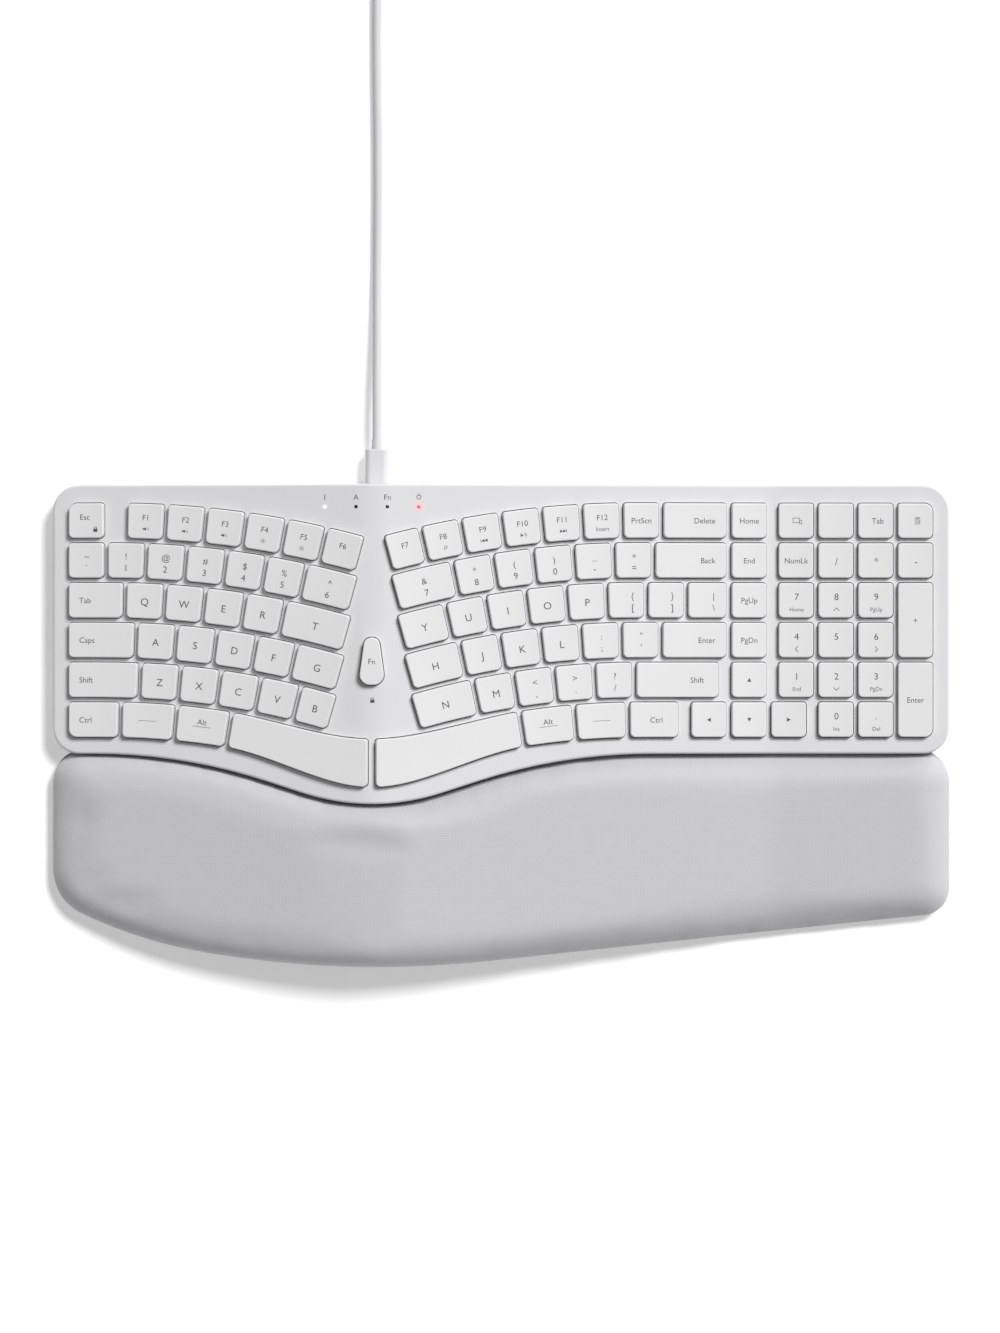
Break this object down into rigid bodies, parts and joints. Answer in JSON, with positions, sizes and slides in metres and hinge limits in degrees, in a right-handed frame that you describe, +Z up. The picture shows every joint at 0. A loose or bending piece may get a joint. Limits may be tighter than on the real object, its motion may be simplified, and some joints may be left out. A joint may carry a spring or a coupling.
{
  "type": "ergonomic split keyboard",
  "caption": "Pale grey ergonomic keyboard with split, bent and arched key blocks, a number pad, a cushioned palm rest and a charging lead.",
  "frame": {"origin": "under the middle of the keyboard and palm rest, on the surface they stand on; the lead and its plugs are not counted", "axes": "+X to the typist's right, +Y away from the typist towards the rear edge, +Z up"},
  "size_m": [0.4284, 0.5882, 0.0367],
  "materials": {
    "case_plastic": "fine matte",
    "key_plastic": "smooth matte",
    "palm_leather": "fine-grained, matte",
    "palm_foam": "soft foam",
    "inner_plastic": "moulded",
    "base_plastic": "fine matte",
    "plate_steel": "rolled sheet",
    "wire_steel": "drawn wire",
    "membrane_film": "printed film",
    "dome_rubber": "silicone",
    "scissor_plastic": "moulded",
    "board": "lacquered board",
    "connector_metal": "plated",
    "battery_wrap": "foil pouch",
    "ribbon_film": "film",
    "light_window": "clear",
    "foot_rubber": "matte",
    "screw_steel": "plated",
    "cord_jacket": "smooth"
  },
  "bodies": {
    "keyboard": {"top_case": "case_plastic", "bottom_case": "base_plastic", "support_plate": "plate_steel", "membrane_circuit": "membrane_film", "rubber_domes": "dome_rubber", "scissor_outer_frames": "scissor_plastic", "scissor_inner_frames": "scissor_plastic", "stabilizer_bars": "wire_steel", "main_board": "board", "usb_c_socket": "connector_metal", "battery_cell": "battery_wrap", "ribbon_cable": "ribbon_film", "light_guides": "light_window", "rubber_feet": "foot_rubber", "case_screws": "screw_steel", "palm_rest_tray": "inner_plastic", "palm_rest_foam": "palm_foam", "palm_rest_cover": "palm_leather", "usb_c_plug_shell": "connector_metal", "usb_c_plug_overmould": "cord_jacket", "usb_cable": "cord_jacket", "usb_cable_coil": "cord_jacket", "usb_a_plug_shell": "connector_metal", "usb_a_plug_overmould": "cord_jacket"},
    "escape_key_body": {"escape_key": "key_plastic"},
    "tab_key_body": {"tab_key": "key_plastic"},
    "caps_lock_key_body": {"caps_lock_key": "key_plastic"},
    "left_shift_key_body": {"left_shift_key": "key_plastic"},
    "left_control_key_body": {"left_control_key": "key_plastic"},
    "left_modifier_key_body": {"left_modifier_key": "key_plastic"},
    "left_alt_key_body": {"left_alt_key": "key_plastic"},
    "left_space_key_body": {"left_space_key": "key_plastic"},
    "fn_key_body": {"fn_key": "key_plastic"},
    "right_space_key_body": {"right_space_key": "key_plastic"},
    "right_alt_key_body": {"right_alt_key": "key_plastic"},
    "right_modifier_key_body": {"right_modifier_key": "key_plastic"},
    "right_control_key_body": {"right_control_key": "key_plastic"},
    "right_shift_key_body": {"right_shift_key": "key_plastic"},
    "enter_key_body": {"enter_key": "key_plastic"},
    "backspace_key_body": {"backspace_key": "key_plastic"},
    "delete_key_body": {"delete_key": "key_plastic"},
    "right_arrow_key_body": {"right_arrow_key": "key_plastic"},
    "number_pad_plus_key_body": {"number_pad_plus_key": "key_plastic"},
    "number_pad_enter_key_body": {"number_pad_enter_key": "key_plastic"},
    "function_keys_left_body": {"function_keys_left": "key_plastic"},
    "function_keys_right_body": {"function_keys_right": "key_plastic"},
    "number_keys_left_body": {"number_keys_left": "key_plastic"},
    "number_keys_right_body": {"number_keys_right": "key_plastic"},
    "upper_letter_keys_left_body": {"upper_letter_keys_left": "key_plastic"},
    "upper_letter_keys_right_body": {"upper_letter_keys_right": "key_plastic"},
    "home_letter_keys_left_body": {"home_letter_keys_left": "key_plastic"},
    "home_letter_keys_right_body": {"home_letter_keys_right": "key_plastic"},
    "lower_letter_keys_left_body": {"lower_letter_keys_left": "key_plastic"},
    "lower_letter_keys_right_body": {"lower_letter_keys_right": "key_plastic"},
    "navigation_keys_body": {"navigation_keys": "key_plastic"},
    "arrow_keys_body": {"arrow_keys": "key_plastic"},
    "number_pad_keys_body": {"number_pad_keys": "key_plastic"},
    "tilt_leg_left_body": {"tilt_leg_left": "base_plastic"},
    "tilt_leg_right_body": {"tilt_leg_right": "base_plastic"},
    "power_switch_body": {"power_switch_slider": "inner_plastic"}
  },
  "joints": [
    {"name": "escape_key_press", "type": "slide", "parent": "keyboard", "child": "escape_key_body", "axis": [-0.1394, 0, 0.9902], "range_m": [-0.0018, 0], "stiffness_N_per_m": 150, "springref_m": 0.002, "deforming": ["rubber_domes", "scissor_outer_frames", "scissor_inner_frames", "stabilizer_bars"]},
    {"name": "tab_key_press", "type": "slide", "parent": "keyboard", "child": "tab_key_body", "axis": [-0.1394, 0, 0.9902], "range_m": [-0.0018, 0], "stiffness_N_per_m": 150, "springref_m": 0.002},
    {"name": "caps_lock_key_press", "type": "slide", "parent": "keyboard", "child": "caps_lock_key_body", "axis": [-0.1394, 0, 0.9902], "range_m": [-0.0018, 0], "stiffness_N_per_m": 150, "springref_m": 0.002},
    {"name": "left_shift_key_press", "type": "slide", "parent": "keyboard", "child": "left_shift_key_body", "axis": [-0.1394, 0, 0.9902], "range_m": [-0.0018, 0], "stiffness_N_per_m": 150, "springref_m": 0.002},
    {"name": "left_control_key_press", "type": "slide", "parent": "keyboard", "child": "left_control_key_body", "axis": [-0.1394, 0, 0.9902], "range_m": [-0.0018, 0], "stiffness_N_per_m": 150, "springref_m": 0.002},
    {"name": "left_modifier_key_press", "type": "slide", "parent": "keyboard", "child": "left_modifier_key_body", "axis": [-0.1394, 0, 0.9902], "range_m": [-0.0018, 0], "stiffness_N_per_m": 150, "springref_m": 0.002},
    {"name": "left_alt_key_press", "type": "slide", "parent": "keyboard", "child": "left_alt_key_body", "axis": [-0.1394, 0, 0.9902], "range_m": [-0.0018, 0], "stiffness_N_per_m": 150, "springref_m": 0.002},
    {"name": "left_space_key_press", "type": "slide", "parent": "keyboard", "child": "left_space_key_body", "axis": [-0.1394, 0, 0.9902], "range_m": [-0.0018, 0], "stiffness_N_per_m": 150, "springref_m": 0.002},
    {"name": "fn_key_press", "type": "slide", "parent": "keyboard", "child": "fn_key_body", "axis": [0, 0, 1], "range_m": [-0.0018, 0], "stiffness_N_per_m": 150, "springref_m": 0.002},
    {"name": "right_space_key_press", "type": "slide", "parent": "keyboard", "child": "right_space_key_body", "axis": [0.1119, 0, 0.9937], "range_m": [-0.0018, 0], "stiffness_N_per_m": 150, "springref_m": 0.002},
    {"name": "right_alt_key_press", "type": "slide", "parent": "keyboard", "child": "right_alt_key_body", "axis": [0.1119, 0, 0.9937], "range_m": [-0.0018, 0], "stiffness_N_per_m": 150, "springref_m": 0.002},
    {"name": "right_modifier_key_press", "type": "slide", "parent": "keyboard", "child": "right_modifier_key_body", "axis": [0.1119, 0, 0.9937], "range_m": [-0.0018, 0], "stiffness_N_per_m": 150, "springref_m": 0.002},
    {"name": "right_control_key_press", "type": "slide", "parent": "keyboard", "child": "right_control_key_body", "axis": [0.1119, 0, 0.9937], "range_m": [-0.0018, 0], "stiffness_N_per_m": 150, "springref_m": 0.002},
    {"name": "right_shift_key_press", "type": "slide", "parent": "keyboard", "child": "right_shift_key_body", "axis": [0.1119, 0, 0.9937], "range_m": [-0.0018, 0], "stiffness_N_per_m": 150, "springref_m": 0.002},
    {"name": "enter_key_press", "type": "slide", "parent": "keyboard", "child": "enter_key_body", "axis": [0.1119, 0, 0.9937], "range_m": [-0.0018, 0], "stiffness_N_per_m": 150, "springref_m": 0.002},
    {"name": "backspace_key_press", "type": "slide", "parent": "keyboard", "child": "backspace_key_body", "axis": [0.1119, 0, 0.9937], "range_m": [-0.0018, 0], "stiffness_N_per_m": 150, "springref_m": 0.002},
    {"name": "delete_key_press", "type": "slide", "parent": "keyboard", "child": "delete_key_body", "axis": [0.1119, 0, 0.9937], "range_m": [-0.0018, 0], "stiffness_N_per_m": 150, "springref_m": 0.002},
    {"name": "right_arrow_key_press", "type": "slide", "parent": "keyboard", "child": "right_arrow_key_body", "axis": [0, 0, 1], "range_m": [-0.0018, 0], "stiffness_N_per_m": 150, "springref_m": 0.002},
    {"name": "number_pad_plus_key_press", "type": "slide", "parent": "keyboard", "child": "number_pad_plus_key_body", "axis": [0, 0, 1], "range_m": [-0.0018, 0], "stiffness_N_per_m": 150, "springref_m": 0.002},
    {"name": "number_pad_enter_key_press", "type": "slide", "parent": "keyboard", "child": "number_pad_enter_key_body", "axis": [0, 0, 1], "range_m": [-0.0018, 0], "stiffness_N_per_m": 150, "springref_m": 0.002},
    {"name": "function_keys_left_press", "type": "slide", "parent": "keyboard", "child": "function_keys_left_body", "axis": [-0.1394, 0, 0.9902], "range_m": [-0.0018, 0], "stiffness_N_per_m": 900, "springref_m": 0.002},
    {"name": "function_keys_right_press", "type": "slide", "parent": "keyboard", "child": "function_keys_right_body", "axis": [0.1119, 0, 0.9937], "range_m": [-0.0018, 0], "stiffness_N_per_m": 1050, "springref_m": 0.002},
    {"name": "number_keys_left_press", "type": "slide", "parent": "keyboard", "child": "number_keys_left_body", "axis": [-0.1394, 0, 0.9902], "range_m": [-0.0018, 0], "stiffness_N_per_m": 1050, "springref_m": 0.002},
    {"name": "number_keys_right_press", "type": "slide", "parent": "keyboard", "child": "number_keys_right_body", "axis": [0.1119, 0, 0.9937], "range_m": [-0.0018, 0], "stiffness_N_per_m": 900, "springref_m": 0.002},
    {"name": "upper_letter_keys_left_press", "type": "slide", "parent": "keyboard", "child": "upper_letter_keys_left_body", "axis": [-0.1394, 0, 0.9902], "range_m": [-0.0018, 0], "stiffness_N_per_m": 750, "springref_m": 0.002},
    {"name": "upper_letter_keys_right_press", "type": "slide", "parent": "keyboard", "child": "upper_letter_keys_right_body", "axis": [0.1119, 0, 0.9937], "range_m": [-0.0018, 0], "stiffness_N_per_m": 1200, "springref_m": 0.002},
    {"name": "home_letter_keys_left_press", "type": "slide", "parent": "keyboard", "child": "home_letter_keys_left_body", "axis": [-0.1394, 0, 0.9902], "range_m": [-0.0018, 0], "stiffness_N_per_m": 750, "springref_m": 0.002},
    {"name": "home_letter_keys_right_press", "type": "slide", "parent": "keyboard", "child": "home_letter_keys_right_body", "axis": [0.1119, 0, 0.9937], "range_m": [-0.0018, 0], "stiffness_N_per_m": 900, "springref_m": 0.002},
    {"name": "lower_letter_keys_left_press", "type": "slide", "parent": "keyboard", "child": "lower_letter_keys_left_body", "axis": [-0.1394, 0, 0.9902], "range_m": [-0.0018, 0], "stiffness_N_per_m": 750, "springref_m": 0.002},
    {"name": "lower_letter_keys_right_press", "type": "slide", "parent": "keyboard", "child": "lower_letter_keys_right_body", "axis": [0.1119, 0, 0.9937], "range_m": [-0.0018, 0], "stiffness_N_per_m": 750, "springref_m": 0.002},
    {"name": "navigation_keys_press", "type": "slide", "parent": "keyboard", "child": "navigation_keys_body", "axis": [0.1119, 0, 0.9937], "range_m": [-0.0018, 0], "stiffness_N_per_m": 600, "springref_m": 0.002},
    {"name": "arrow_keys_press", "type": "slide", "parent": "keyboard", "child": "arrow_keys_body", "axis": [0.1119, 0, 0.9937], "range_m": [-0.0018, 0], "stiffness_N_per_m": 450, "springref_m": 0.002},
    {"name": "number_pad_keys_press", "type": "slide", "parent": "keyboard", "child": "number_pad_keys_body", "axis": [0, 0, 1], "range_m": [-0.0018, 0], "stiffness_N_per_m": 2850, "springref_m": 0.002},
    {"name": "tilt_leg_left_fold", "type": "hinge", "parent": "keyboard", "child": "tilt_leg_left_body", "pos_m": [-0.15225, 0.0993, 0.0035], "axis": [1, 0, 0], "range_deg": [0, 80]},
    {"name": "tilt_leg_right_fold", "type": "hinge", "parent": "keyboard", "child": "tilt_leg_right_body", "pos_m": [0.15225, 0.0993, 0.0035], "axis": [1, 0, 0], "range_deg": [0, 80]},
    {"name": "power_switch_slide", "type": "slide", "parent": "keyboard", "child": "power_switch_body", "axis": [1, 0, 0], "range_m": [0, 0.0025]}
  ]
}
